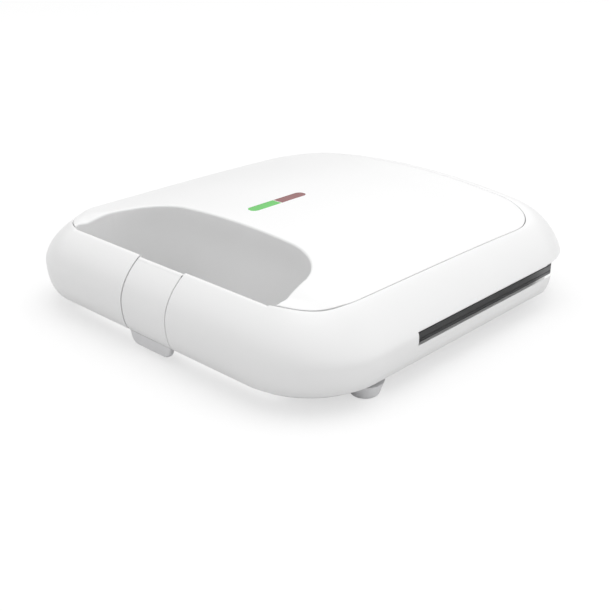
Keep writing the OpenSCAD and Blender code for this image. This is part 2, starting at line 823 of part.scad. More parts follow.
// Stadium outline of the indicator bar from y0 to y1, grown by g
function lamp_outline(g, y0, y1) =
    let (r = lamp_w / 2 + g)
    concat(arc(lamp_x, y0 + lamp_w / 2, r, 180, 360, 12), arc(lamp_x, y1 - lamp_w / 2, r, 0, 180, 12));

// Half of the indicator bar between two lines
module lens(y0, y1) {
    z1 = body_h - 0.1;
    intersection() {
        prism(lamp_outline(0, lamp_y0, lamp_y0 + lamp_len), body_h - 5, z1);
        translate([lamp_x - lamp_w, y0, body_h - 6]) cube([2 * lamp_w, y1 - y0, 10]);
    }
}

module ready_lens() {
    color("limegreen") lens(lamp_y0 - 1, lamp_y0 + (lamp_len - lamp_split) / 2);
}

module power_lens() {
    color("firebrick") lens(lamp_y0 + (lamp_len + lamp_split) / 2, lamp_y0 + lamp_len + 1);
}

module lamp_board() {
    color("darkgreen") difference() {
        translate([lamp_x - 8, lamp_y0 - 8, board_z]) cube([16, lamp_len + 16, board_t]);
        for (y = [lamp_y0 - 4, lamp_y0 + lamp_len + 4]) translate([lamp_x, y, board_z - 1])
            cylinder(r = 0.9, h = 4);
    }
}

module board_screws() {
    color("silver") for (y = [lamp_y0 - 4, lamp_y0 + lamp_len + 4]) translate([lamp_x, y, board_z - 0.1]) {
        cylinder(r = 0.7, h = 4);
        translate([0, 0, -1]) cylinder(r = 1.8, h = 1);
    }
}

// Two domed lamps under the lenses
module lamps() {
    color("lightyellow") for (f = [0.25, 0.75]) translate([lamp_x, lamp_y0 + f * lamp_len, board_z + board_t + 0.05]) {
        cylinder(r = 2.4, h = 0.8);
        rotate_extrude() intersection() {
            translate([0, 0.2]) circle(r = 2.1);
            square([4, 4]);
        }
    }
}

// Steel leaf that joins the lid to its hinge pin
module hinge_leaf() {
    x0 = ear_x + ear_w + ear_gap;
    difference() {
        union() {
            bar_x(barrel_r, x0, x0 + ear_w, hinge_y, hinge_z);
            translate([x0, leaf_y, hinge_z]) cube([ear_w, leaf_t, leaf_h]);
            translate([x0 - 9, leaf_y, hinge_z + 4.6]) cube([ear_w + 18, leaf_t, leaf_h - 4.6]);
        }
        bar_x(hinge_pin_r + run_fit, x0 - 1, x0 + ear_w + 1, hinge_y, hinge_z);
        for (x = [x0 - 5, x0 + ear_w + 5]) translate([x, leaf_y - 1, leaf_screw_z])
            rotate([-90, 0, 0]) cylinder(r = screw_r + 0.1, h = 4);
    }
}

module lid_hinge_leaves() { color("silver") both_sides() hinge_leaf(); }

module hinge_screws() {
    x0 = ear_x + ear_w + ear_gap;
    color("silver") both_sides() for (x = [x0 - 5, x0 + ear_w + 5])
        translate([x, leaf_y - 0.1, leaf_screw_z]) rotate([-90, 0, 0]) screw(leaf_t + 0.6);
}

// Steel bracket on the bar's slab, whose two ears carry the latch pin
module latch_bracket() {
    plate_y0 = bar_back_y - bar_slab - 1.6;
    color("silver") difference() {
        union() {
            translate([18 - grip_half_w, plate_y0, bar_slab_z + 3]) cube([2 * grip_half_w - 36, 1.5, 9]);
            both_sides() {
                x0 = latch_w / 2 + latch_gap;
                bar_x(latch_boss_r, x0, x0 + latch_ear_w, latch_pin_y, latch_pin_z);
                translate([x0, plate_y0, bar_slab_z + 3])
                    cube([latch_ear_w, 1.5, latch_pin_z - bar_slab_z - 3]);
            }
        }
        bar_x(latch_pin_r + 0.02, -latch_w, latch_w, latch_pin_y, latch_pin_z);
    }
}

// ---- Electrical parts of the lid ----

module thermostat() {
    z = up_meet + upper_pocket_h + plate_wall + 0.1;
    translate([thermostat_at[0], thermostat_at[1], z]) {
        color("silver") cylinder(r = 8, h = 1.6);
        color("#222222") translate([0, 0, 1.6]) cylinder(r = 6.6, h = 5);
        color("gold") for (s = [-1, 1]) translate([s * 3 - 1.5, -0.4, 6.6]) cube([3, 0.8, 5]);
    }
}

module thermal_fuse() {
    z = pan_z + sheet_t + 1.9;
    color("silver") {
        translate([fuse_at[0] - 7, fuse_at[1], z]) rotate([0, 90, 0]) cylinder(r = 1.8, h = 14);
        translate([fuse_at[0] - 16, fuse_at[1], z]) rotate([0, 90, 0]) cylinder(r = 0.6, h = 32);
    }
}

// Insulated wire along a path of points, with a small bead at each bend
module wire(path, r) {
    for (i = [0 : len(path) - 2]) {
        d = path[i + 1] - path[i];
        translate(path[i]) rotate([0, acos(d[2] / norm(d)), atan2(d[1], d[0])])
            cylinder(r = r, h = norm(d), $fn = 12);
    }
    for (i = [1 : len(path) - 2]) translate(path[i]) sphere(r = r + 0.2, $fn = 12);
}

// Leads of the lid: thermostat to heater, heater to fuse, and fuse to the hinge side
module upper_leads() {
    tail_y = plate_back_y + heater_tail + 8;
    tail_z = up_meet + heater_drop + 1.2;
    high_z = pan_z + sheet_t + 1.9;
    clip_z = pan_z + sheet_t + 7.6;
    near = [thermostat_at[0] + 3, thermostat_at[1]];
    far = fuse_at[0] + 16;
    color("firebrick") {
        wire([
            [near[0], near[1] + 1, clip_z], [near[0], plate_y + 60, clip_z], [heater_end_x, tail_y, clip_z],
            [heater_end_x, tail_y, tail_z]
        ], 1.1);
        wire([
            [far + 0.1, fuse_at[1], high_z], [far + 6, fuse_at[1], high_z], [-heater_end_x, tail_y, high_z],
            [-heater_end_x, tail_y, tail_z]
        ], 1.1);
        wire([
            [fuse_at[0] - 16.1, fuse_at[1], high_z], [fuse_at[0] - 24, fuse_at[1], high_z],
            [fuse_at[0] - 24, plate_y + 72, high_z - 0.4]
        ], 1.1);
        wire([
            [near[0] - 6, near[1] + 1, clip_z], [near[0] - 6, plate_y + 58, clip_z], [30, plate_y + 74, high_z - 0.4]
        ], 1.1);
    }
}

// ---- Latch ----

// Section of the bar's skin at its middle, t inside, from the bar's back to the skirt
function bar_section(t) =
    let (
        reach = bar_d - latch_gap - t,
        a0 = asin(pow(1 - reach / front_run, front_full / 2)),
        q = [0, -half_d, 0, -1]
    ) concat(
        [for (k = [0 : 12]) let (p = over_point(q, a0 + (90 - a0) * k / 12, t)) [p[1], p[2]]],
        [for (k = [1 : 6])
            let (z = waist_z + (skirt_z + 0.2 - waist_z) * k / 6) [-half_d + under_in(z) + t, z]]
    );

module latch_band() {
    outer = bar_section(0);
    inner = bar_section(latch_wall);
    w = latch_w;
    color("white") difference() {
        union() {
            translate([-w / 2, 0, 0]) rotate([90, 0, 90]) linear_extrude(w)
                polygon(concat(outer, [for (i = [len(inner) - 1 : -1 : 0]) inner[i]]));
            both_sides() {
                bar_x(latch_boss_r, w / 2 - latch_ear_w, w / 2, latch_pin_y, latch_pin_z);
                translate([w / 2 - latch_ear_w, latch_pin_y - 3.8, latch_pin_z - 1])
                    cube([latch_ear_w, 3.8, latch_boss_r + 0.8]);
            }
            // Flange that closes the slot at the back of the bar
            translate([-w / 2, bar_back_y - latch_gap - latch_wall, latch_pin_z + 2])
                cube([w, latch_wall, bar_top_z - latch_pin_z - 3.4]);
            // Nib that snaps under the base's bar
            translate([-12, -half_d + under_in(skirt_z + 0.6) + latch_wall - 0.6, skirt_z + 0.4])
                cube([24, base_inset - under_in(skirt_z + 0.6) - latch_wall + 0.3, 1.6]);
        }
        bar_x(latch_pin_r + run_fit, -w, w, latch_pin_y, latch_pin_z);
    }
}

// Grey finger tab under the band
module latch_tab() {
    w = latch_w - 1;
    r = 5.4;
    top = skirt_z + 0.1;
    y1 = -half_d + under_in(skirt_z) + 3;
    color("#adadad") translate([0, y1, 0]) rotate([90, 0, 0]) linear_extrude(3.2)
        polygon(concat(
            [[-w / 2, top]],
            arc(-w / 2 + r + 0.8, tab_z + r, r, 190, 270, 8),
            arc(w / 2 - r - 0.8, tab_z + r, r, 270, 350, 8),
            [[w / 2, top]]
        ));
}

module latch_pin() {
    color("silver") bar_x(latch_pin_r, -latch_pin_l / 2, latch_pin_l / 2, latch_pin_y, latch_pin_z);
}

// Torsion spring on the pin, between the two ears of the band
module latch_spring() {
    color("silver") difference() {
        bar_x(1.9, -8, 8, latch_pin_y, latch_pin_z);
        bar_x(latch_pin_r + 0.2, -9, 9, latch_pin_y, latch_pin_z);
    }
}

base_shell();
lower_plate();
lower_heater();
lower_heater_seals();
lower_reflector();
lower_plate_screws();
terminal_block();
terminal_screws();
lower_leads();
cord_inlet();
hinge_pins();
front_feet();
rear_feet();
foot_screws();
lid_shell();
lid_top_panel();
panel_screws();
lid_hinge_leaves();
hinge_screws();
latch_bracket();
upper_plate();
upper_heater();
upper_heater_seals();
upper_reflector();
upper_plate_screws();
pan_screws();
thermostat();
thermal_fuse();
upper_leads();
lamp_board();
board_screws();
lamps();
ready_lens();
power_lens();
latch_pin();
latch_spring();
latch_band();
latch_tab();
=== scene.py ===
"""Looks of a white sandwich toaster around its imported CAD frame.

Lengths below are in millimetres in the CAD frame (+Z up, -Y the grip side) and
are turned into metres when a mesh is written.
"""

import math

import bpy
import numpy as np
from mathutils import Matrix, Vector


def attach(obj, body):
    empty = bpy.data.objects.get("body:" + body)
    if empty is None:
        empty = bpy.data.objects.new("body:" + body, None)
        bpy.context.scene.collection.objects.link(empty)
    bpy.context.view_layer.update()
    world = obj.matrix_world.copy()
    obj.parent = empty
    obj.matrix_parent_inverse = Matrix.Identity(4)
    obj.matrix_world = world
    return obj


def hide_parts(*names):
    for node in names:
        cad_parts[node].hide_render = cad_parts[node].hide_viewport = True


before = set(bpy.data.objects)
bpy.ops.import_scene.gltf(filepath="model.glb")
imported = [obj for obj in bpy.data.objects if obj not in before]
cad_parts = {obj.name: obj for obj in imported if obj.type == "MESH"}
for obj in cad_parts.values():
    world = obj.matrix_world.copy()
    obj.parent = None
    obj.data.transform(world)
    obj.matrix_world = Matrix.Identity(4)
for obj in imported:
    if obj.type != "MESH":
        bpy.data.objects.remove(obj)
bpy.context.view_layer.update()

# ---------------------------------------------------------------- sizes, mm
HALF_W, HALF_D, TOP, WAIST, FOOT = 117.5, 120.0, 58.0, 26.0, 7.5
FRONT_R, BACK_R = 46.0, 50.0
CROWN, BACK_DROP, CROWN_Y = 10.4, 2.0, -12.0
SIDE_RUN, FRONT_RUN, BACK_RUN = 17.5, 46.0, 24.0
SIDE_FULL, FRONT_FULL = 1.25, 1.89
UNDER_FULL, UNDER_RUN = 2.2, 8.4
WALL, SKIRT = 2.5, 10.0
BAR_Y, SLAB, SLAB_Z = -105.0, 2.5, 19.0
GRIP_W, GRIP_BX, GRIP_D, GRIP_RB, GRIP_RF = 78.0, 74.5, 49.5, 34.0, 3.0
GROOVE, PANEL_FR, PANEL_BR = 0.42, 34.0, 34.0
PANEL_W, PANEL_Y1, PANEL_Y0 = HALF_W - SIDE_RUN, HALF_D - BACK_RUN, BAR_Y - 1.2
TIP_Y = -103.4
BAR_D, LEVEL_RUN = 15.0, 10.0
WIN_Y0, WIN_Y1, WIN_Z0, WIN_Z1 = -46.7, 74.2, 21.0, 28.3
LATCH_W, LATCH_GAP, LATCH_WALL = 34.2, 0.75, 2.2
PIN_Y, PIN_Z = -109.8, 37.5
PIN_BORE, BOSS_R = 1.05, 1.9
LATCH_X = LATCH_W / 2 + LATCH_GAP
# The latch's ears: width, reach in front of the pin, below and above it
LATCH_EAR, EAR_FRONT, EAR_LOW, EAR_HIGH = 6.0, 3.8, 1.0, 1.8
# The nib: half its width, the depth of its recess and the gap that it leaves there
NIB_X, NIB_RECESS, NIB_GAP = 12, 7.6, 0.3
# Edge rolls at the bar, the groove and the grip, the groove's depth, the skirt's lip
BAR_ROLL, GROOVE_ROLL, GRIP_ROLL, GROOVE_DEEP, LIP_H = 1.6, 0.35, 1.3, 3.0, 0.8
# Heights of the rows down the wall of the grip opening
GRIP_ROWS = (44, 36, 28, 20, 14, SKIRT + 0.6)
# Offset and height of the rows round its lower edge and up its inner face
GRIP_INNER = ((0.7, SKIRT), (1.8, SKIRT), (WALL, SKIRT + 0.6), (WALL, 30), (WALL, 42))
TAB_Z, TAB_R, TAB_EDGE, TAB_THICK = 3.3, 5.4, 0.9, 3.2
# Inward step of the lens's rows and their height over the crown
LENS_ROWS = ((0, -1.2), (0, -0.12), (0.1, -0.02), (0.3, 0.03), (1.2, 0.05), (2.0, 0.05),
             (2.9, 0.05))
LAMP_X, LAMP_Y0, LAMP_LEN, LAMP_W = -7.0, -38.0, 43.0, 7.6


# ------------------------------------------------------- height of the skin
def crown_z(x, y):
    """TOP - CROWN (x/100)^2 - BACK_DROP (max(y + 12, 0)/108)^2."""
    back = np.maximum(y - CROWN_Y, 0) / (PANEL_Y1 - CROWN_Y)
    return TOP - CROWN * (x / PANEL_W) ** 2 - BACK_DROP * back**2


def rounding(ny):
    """Run and fullness of the side's rounding where the outline's normal is ny."""
    f, b = np.maximum(-ny, 0) ** 2, np.maximum(ny, 0) ** 2
    run = SIDE_RUN + (FRONT_RUN - SIDE_RUN) * f + (BACK_RUN - SIDE_RUN) * b
    return run, SIDE_FULL + (FRONT_FULL - SIDE_FULL) * (f + b)


def edge_z(x, y, nx, ny, run, d):
    """Height that the rounding rises to: the crown at its inner edge, lifted to TOP
    over the bar by max(-ny, 0)^5 times a smooth fall from d = 15 to d = 25."""
    crown = crown_z(x - nx * run, y - ny * run)
    f = np.clip((BAR_D + LEVEL_RUN - d) / LEVEL_RUN, 0, 1)
    return crown + (TOP - crown) * np.maximum(-ny, 0) ** 5 * f * f * (3 - 2 * f)


def inward(x, y):
    """Distance inside the outline, and the outline's normal there."""
    ax = np.abs(x)
    nx, ny = np.ones_like(ax), np.zeros_like(ax)
    front, back = y + HALF_D, HALF_D - y
    d = HALF_W - ax
    m = front < FRONT_RUN
    d[m], nx[m], ny[m] = front[m], 0, -1
    m = back < BACK_RUN
    d[m], nx[m], ny[m] = back[m], 0, 1
    for r, cy, s in ((FRONT_R, -HALF_D + FRONT_R, -1), (BACK_R, HALF_D - BACK_R, 1)):
        cx = HALF_W - r
        m = (ax > cx) & ((y - cy) * s > 0)
        vx, vy = ax - cx, y - cy
        v = np.hypot(vx, vy) + 1e-9
        d[m], nx[m], ny[m] = (r - v)[m], (vx / v)[m], (vy / v)[m]
    return d, nx * np.sign(x + 1e-12), ny


def skin_z(x, y):
    """Height of the upper skin over a plan point: the crown inside the rounding,
    else edge (1 - k) + WAIST k with k = 1 - cos(a)^(2/p), sin(a) = (1 - d/run)^(p/2)."""
    x, y = np.asarray(x, float), np.asarray(y, float)
    d, nx, ny = inward(x, y)
    run, full = rounding(ny)
    s = np.clip(1 - d / run, 0, 1) ** (full / 2)
    k = 1 - np.sqrt(np.maximum(1 - s * s, 0)) ** (2 / full)
    z = edge_z(x + nx * d, y + ny * d, nx, ny, run, d) * (1 - k) + WAIST * k
    return np.where(d >= run, crown_z(x, y), z)


def under_in(z):
    """Inward offset of the skin below its widest line."""
    f = np.clip((WAIST - z) / (WAIST - FOOT), 0, 1)
    return UNDER_RUN * (1 - (1 - f**UNDER_FULL) ** (1 / UNDER_FULL))


def top_normal(x, y, h=0.4):
    """Unit normal of the upper skin from central differences."""
    zx = (skin_z(x + h, y) - skin_z(x - h, y)) / (2 * h)
    zy = (skin_z(x, y + h) - skin_z(x, y - h)) / (2 * h)
    n = np.stack([-zx, -zy, np.ones_like(zx)], -1)
    return n / np.linalg.norm(n, axis=-1, keepdims=True)


# -------------------------------------------------------------- mesh makers
def new_piece(name, verts, faces, body, stands_for, mat, sharp=40):
    """Mesh object from vertices in mm and faces, riding on a CAD body."""
    used, flat = np.unique(np.concatenate([np.asarray(f) for f in faces]), return_inverse=True)
    ends = np.cumsum([0] + [len(f) for f in faces])
    faces = [flat[a:b].tolist() for a, b in zip(ends[:-1], ends[1:])]
    me = bpy.data.meshes.new(name)
    me.from_pydata((np.asarray(verts)[used] * 0.001).tolist(), [], faces)
    me.validate()
    me.polygons.foreach_set("use_smooth", [True] * len(me.polygons))
    me.set_sharp_from_angle(angle=math.radians(sharp))
    me.materials.append(mat)
    ob = bpy.data.objects.new(name, me)
    bpy.context.collection.objects.link(ob)
    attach(ob, body)
    if stands_for:
        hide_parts(*stands_for)
    return ob


def grid_faces(nu, nv, wrap_v=False, skip=None):
    """Quads of a grid of nu columns by nv rows; skip(i, j) leaves a quad out."""
    faces = []
    for i in range(nu - 1):
        for j in range(nv if wrap_v else nv - 1):
            if skip is not None and skip(i, j):
                continue
            a, b, k = i * nv, (i + 1) * nv, (j + 1) % nv
            faces.append((a + j, b + j, b + k, a + k))
    return faces


def end_faces(nu, nv):
    """The two faces that close a tube of nu rings with nv points each."""
    return [tuple(range(nv)), tuple(range((nu - 1) * nv, nu * nv))[::-1]]


def box_faces(base):
    """Six faces of a box whose corners run z fastest, then y, then x, from index base."""
    sides = ((0, 1, 3, 2), (4, 6, 7, 5), (0, 4, 5, 1), (2, 3, 7, 6), (1, 5, 7, 3), (0, 2, 6, 4))
    return [tuple(base + k for k in f) for f in sides]


def mirrored(path):
    """A right half's path followed by its mirror image."""
    return np.concatenate([path, (path * (-1, 1))[::-1][1:]])


def along(path, n):
    """n points at equal steps along an open polyline."""
    path = np.asarray(path, float)
    s = np.concatenate([[0], np.cumsum(np.linalg.norm(np.diff(path, axis=0), axis=1))])
    t = np.linspace(0, s[-1], n)
    return np.stack([np.interp(t, s, path[:, k]) for k in range(path.shape[1])], -1)


def arc(cx, cy, r, a0, a1, n):
    """n points of an arc from angle a0 to a1 in degrees."""
    a = np.radians(np.linspace(a0, a1, n))
    return np.stack([cx + r * np.cos(a), cy + r * np.sin(a)], -1)


# ------------------------------------------------------------------ shader
class Sock:
    """A shader socket that adds, multiplies and mixes by making Math nodes."""

    def __init__(self, tree, out):
        self.tree, self.out = tree, out

    def op(self, kind, other, swap=False):
        n = self.tree.nodes.new("ShaderNodeMath")
        n.operation = kind
        for slot, v in zip(n.inputs, (other, self) if swap else (self, other)):
            if isinstance(v, Sock):
                self.tree.links.new(v.out, slot)
            else:
                slot.default_value = v
        return Sock(self.tree, n.outputs[0])

    def __add__(self, o):
        return self.op("ADD", o)

    __radd__ = __add__

    def __sub__(self, o):
        return self.op("SUBTRACT", o)

    def __rsub__(self, o):
        return self.op("SUBTRACT", o, True)

    def __mul__(self, o):
        return self.op("MULTIPLY", o)

    __rmul__ = __mul__

    def clamp(self, lo=0.0, hi=1.0):
        return self.op("MAXIMUM", lo).op("MINIMUM", hi)


class Paint:
    """A material whose finish is worked out from Object coordinates."""

    def __init__(self, name, rough=0.4, metal=0.0, **fixed):
        self.mat = bpy.data.materials.new(name)
        self.mat.use_nodes = True
        self.tree = self.mat.node_tree
        self.bsdf = self.tree.nodes["Principled BSDF"]
        self.bsdf.inputs["Roughness"].default_value = rough
        self.bsdf.inputs["Metallic"].default_value = metal
        for k, v in fixed.items():
            self.bsdf.inputs[k.replace("_", " ")].default_value = v
        self.coord = self.node("ShaderNodeTexCoord").outputs["Object"]

    def node(self, kind, links=(), **values):
        n = self.tree.nodes.new(kind)
        for k, v in values.items():
            if k in n.inputs:
                n.inputs[k].default_value = v
            else:
                setattr(n, k, v)
        for k, v in dict(links).items():
            self.tree.links.new(v.out if isinstance(v, Sock) else v, n.inputs[k])
        return n

    def grey(self, value):
        """Colour socket with the same value in its three channels."""
        channels = dict.fromkeys(("Red", "Green", "Blue"), value)
        return self.node("ShaderNodeCombineColor", channels).outputs[0]

    def sock(self, out):
        return Sock(self.tree, out)

    def noise(self, scale, detail=2.0):
        n = self.node("ShaderNodeTexNoise", {"Vector": self.coord}, Scale=scale, Detail=detail)
        return self.sock(n.outputs["Fac"])

    def mix(self, fac, a, b):
        n = self.node("ShaderNodeMix", data_type="RGBA")
        self.tree.links.new(fac.out, n.inputs[0])
        for slot, v in ((n.inputs[6], a), (n.inputs[7], b)):
            if isinstance(v, tuple):
                slot.default_value = (*v, 1)
            else:
                self.tree.links.new(v, slot)
        return n.outputs[2]

    def set(self, **sockets):
        for k, v in sockets.items():
            slot = self.bsdf.inputs[k.replace("_", " ")]
            self.tree.links.new(v.out if isinstance(v, Sock) else v, slot)

    def bump(self, height, strength, dist=0.0002):
        n = self.node("ShaderNodeBump", {"Height": height}, Strength=strength, Distance=dist)
        self.tree.links.new(n.outputs[0], self.bsdf.inputs["Normal"])

    def varied(self, a, b, scale=60.0, rough=None, bump=0.0, fine=900.0):
        """Base colour between a and b by a broad noise, and a fine grain."""
        broad = self.noise(scale, 3.0)
        self.set(Base_Color=self.mix(broad, a, b))
        if rough:
            self.set(Roughness=broad * (rough[1] - rough[0]) + rough[0])
        if bump:
            self.bump(self.noise(fine, 2.0), bump)
        return self.mat


def paint(name, a, b, rough, metal=0.0, scale=60.0, bump=0.05, fine=900.0, **fixed):
    p = Paint(name, metal=metal, **fixed)
    return p.varied(a, b, scale, rough, bump, fine)


WHITE = paint("white_gloss", (0.80, 0.80, 0.80), (0.83, 0.83, 0.83), (0.36, 0.42),
              scale=14.0, bump=0.02, fine=1500.0)
BASE = paint("white_satin", (0.74, 0.74, 0.74), (0.78, 0.78, 0.78), (0.5, 0.6), bump=0.06)
GREY = paint("light_grey_satin", (0.66, 0.66, 0.67), (0.70, 0.70, 0.71), (0.45, 0.55), bump=0.05)
FOOT_MAT = paint("foot_grey", (0.68, 0.68, 0.69), (0.74, 0.74, 0.75), (0.6, 0.7), bump=0.12)
COAT = paint("plate_coat", (0.130, 0.130, 0.132), (0.165, 0.165, 0.168), (0.5, 0.6),
             scale=220.0, bump=0.25, fine=2600.0)
TUBE = paint("heater_tube", (0.30, 0.29, 0.28), (0.42, 0.40, 0.37), (0.35, 0.5), 1.0, 90.0)
STEEL = paint("bright_steel", (0.55, 0.55, 0.56), (0.66, 0.66, 0.67), (0.25, 0.36), 1.0, 300.0)
SHEET = paint("reflector", (0.72, 0.72, 0.73), (0.82, 0.82, 0.83), (0.18, 0.3), 1.0, 40.0)
CERAMIC = paint("ceramic", (0.78, 0.75, 0.66), (0.85, 0.82, 0.75), (0.3, 0.45))
SLEEVE = paint("lead_sleeve", (0.40, 0.06, 0.05), (0.48, 0.09, 0.07), (0.55, 0.65))
BLOCK = paint("block_plastic", (0.78, 0.76, 0.68), (0.84, 0.82, 0.74), (0.45, 0.55))
INLET = paint("inlet_rubber", (0.045, 0.045, 0.045), (0.07, 0.07, 0.07), (0.6, 0.75), bump=0.2)
THERM = paint("thermostat_black", (0.04, 0.04, 0.04), (0.07, 0.07, 0.07), (0.4, 0.5))
BOARD = paint("board_green", (0.03, 0.18, 0.07), (0.05, 0.24, 0.10), (0.3, 0.4))
GLASS = paint("lamp_glass", (0.86, 0.86, 0.8), (0.92, 0.92, 0.86), (0.08, 0.14))

CAD_MATS = {
    "base_shell": BASE, "lower_plate": COAT, "upper_plate": COAT, "lower_heater": TUBE,
    "upper_heater": TUBE, "lower_heater_seals": CERAMIC, "upper_heater_seals": CERAMIC,
    "lower_reflector": SHEET, "upper_reflector": SHEET, "lower_plate_screws": STEEL,
    "terminal_block": BLOCK, "terminal_screws": STEEL, "lower_leads": SLEEVE,
    "upper_leads": SLEEVE, "cord_inlet": INLET, "hinge_pins": STEEL, "front_feet": FOOT_MAT,
    "rear_feet": FOOT_MAT, "foot_screws": STEEL, "lid_shell": WHITE, "lid_top_panel": WHITE,
    "panel_screws": STEEL, "lid_hinge_leaves": STEEL, "hinge_screws": STEEL,
    "latch_bracket": STEEL, "upper_plate_screws": STEEL, "pan_screws": STEEL,
    "thermostat": THERM, "thermal_fuse": STEEL, "lamp_board": BOARD, "board_screws": STEEL,
    "lamps": GLASS, "latch_pin": STEEL, "latch_spring": STEEL, "latch_band": WHITE,
    "latch_tab": GREY,
}
for node, mat in CAD_MATS.items():
    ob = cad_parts[node]
    ob.data.materials.clear()
    ob.data.materials.append(mat)
    ob.data.polygons.foreach_set("use_smooth", [True] * len(ob.data.polygons))
    ob.data.set_sharp_from_angle(angle=math.radians(24))


# ------------------------------------------------------------- lid shell
# Rows of the skin below the side slot, along it and above it
N_LOW, N_WIN, N_HIGH = 9, 7, 32
# Length of the rounding's curve per unit of its run and of its angle
ARC_SHARE = 0.8


def boundary_path():
    """Plan curve where the shell's skin ends: the bar's back edge, then the
    groove round the top panel, for the right half from x = 0 at the bar to x = 0
    at the back."""
    fy, w = PANEL_Y0 + PANEL_FR, PANEL_W
    a0 = math.degrees(math.asin((BAR_Y - fy) / PANEL_FR))
    return np.concatenate([
        [(0, BAR_Y)],
        arc(w - PANEL_FR, fy, PANEL_FR, a0, 0, 40),
        arc(w - PANEL_BR, PANEL_Y1 - PANEL_BR, PANEL_BR, 0, 90, 40),
        [(0, PANEL_Y1)],
    ])


def outline_stations():
    """Stations of the right half outline as x, y, nx, ny."""
    rows = []

    def add(pts, nx, ny):
        rows.extend(zip(pts[:, 0], pts[:, 1], nx, ny))

    def straight(x, y, nx, ny):
        x, y = np.broadcast_arrays(np.asarray(x, float), np.asarray(y, float))
        add(np.stack([x, y], -1), np.full(len(x), nx), np.full(len(x), ny))

    def turn(cx, cy, r, a):
        n = np.stack([np.cos(np.radians(a)), np.sin(np.radians(a))], -1)
        add(n * r + (cx, cy), n[:, 0], n[:, 1])

    cx, cy = HALF_W - FRONT_R, -HALF_D + FRONT_R
    straight(np.linspace(LATCH_X, cx, 16), -HALF_D, 0, -1)
    turn(cx, cy, FRONT_R, np.linspace(-90, 0, 61)[1:])
    straight(HALF_W, np.linspace(cy, WIN_Y0, 9)[1:], 1, 0)
    straight(HALF_W, np.linspace(WIN_Y0, HALF_D - BACK_R, 30)[1:], 1, 0)
    cx, cy = HALF_W - BACK_R, HALF_D - BACK_R
    aw = math.degrees(math.asin((WIN_Y1 - cy) / BACK_R))
    turn(cx, cy, BACK_R, np.concatenate([[aw / 2, aw], np.linspace(aw, 90, 48)[1:]]))
    straight(np.linspace(cx, 0, 16)[1:], HALF_D, 0, 1)
    return np.array(rows)


def mirror_stations(st):
    """The right half's stations followed by their mirror images."""
    left = st[::-1].copy()
    left[:, 0] *= -1
    left[:, 2] *= -1
    return np.concatenate([st, left[1:]])


def boundary_depth(st):
    """Distance along each station's inward normal to the boundary path."""
    path = boundary_path()
    a, b = path[:-1], path[1:]
    out = []
    for x, y, nx, ny in zip(abs(st[:, 0]), st[:, 1], abs(st[:, 2]), st[:, 3]):
        best = None
        for (ax, ay), (bx, by) in zip(a, b):
            ex, ey = bx - ax, by - ay
            det = -nx * -ey - -ny * -ex
            if abs(det) < 1e-9:
                continue
            rx, ry = ax - x, ay - y
            d = (rx * -ey - ry * -ex) / det
            s = (-nx * ry - -ny * rx) / det
            if d > 0 and -1e-6 <= s <= 1 + 1e-6 and (best is None or d < best):
                best = d
        out.append(best if best is not None else BAR_D)
    return np.array(out)


def section(st, depth):
    """Outer skin of the shell as a grid: rows rise from the skirt to the boundary.

    Below the widest line the offset is under_in(z). Above it the offset is
    run (1 - sin(a)^(2/p)) at height edge (1 - k) + WAIST k, k = 1 - cos(a)^(2/p),
    and past the rounding the rows run on over the crown."""
    x, y, nx, ny = st.T
    run, full = rounding(ny)
    edge = edge_z(x, y, nx, ny, run, 0 * run)
    rows_z = list(np.linspace(SKIRT + LIP_H, WIN_Z0, N_LOW))
    rows_z += list(np.linspace(WIN_Z0, WIN_Z1, N_WIN + 1)[1:])
    off, zz = [], []
    for z in rows_z:
        k = np.clip((edge - z) / (edge - WAIST), 0, 1)
        cos = (1 - k) ** (full / 2)
        up = run * (1 - np.sqrt(np.maximum(1 - cos * cos, 0)) ** (2 / full))
        off.append(np.where(z < WAIST, under_in(z), up))
        zz.append(np.full_like(x, z))
    k = (edge - WIN_Z1) / (edge - WAIST)
    a1 = np.arccos(np.clip((1 - k) ** (full / 2), 0, 1))
    a2 = np.arcsin(np.clip(1 - np.minimum(depth, run) / run, 0, 1) ** (full / 2))
    bend = (a1 - a2) * run * ARC_SHARE
    total = bend + np.maximum(depth - run, 0)
    for f in np.linspace(0, 1, N_HIGH + 1)[1:]:
        a = np.maximum(a1 - total * f / (run * ARC_SHARE), a2)
        d = run * (1 - np.sin(a) ** (2 / full)) + np.maximum(total * f - bend, 0)
        k = 1 - np.cos(a) ** (2 / full)
        z = edge_z(x, y, nx, ny, run, d) * (1 - k) + WAIST * k
        off.append(d)
        zz.append(np.where(d > run, crown_z(x - nx * d, y - ny * d), z))
    off, zz = np.stack(off, 1), np.stack(zz, 1)
    return np.stack([x[:, None] - nx[:, None] * off, y[:, None] - ny[:, None] * off, zz], -1)


def roll(p, m, n, r, steps=4):
    """Quarter roll of radius r from the surface point p towards m and down -n."""
    out = []
    for f in np.linspace(0, 1, steps + 1)[1:]:
        a = f * math.pi / 2
        out.append(p + m * r * math.sin(a) - n * r * (1 - math.cos(a)))
    return out


def unit(v):
    return v / np.maximum(np.linalg.norm(v, axis=-1, keepdims=True), 1e-12)


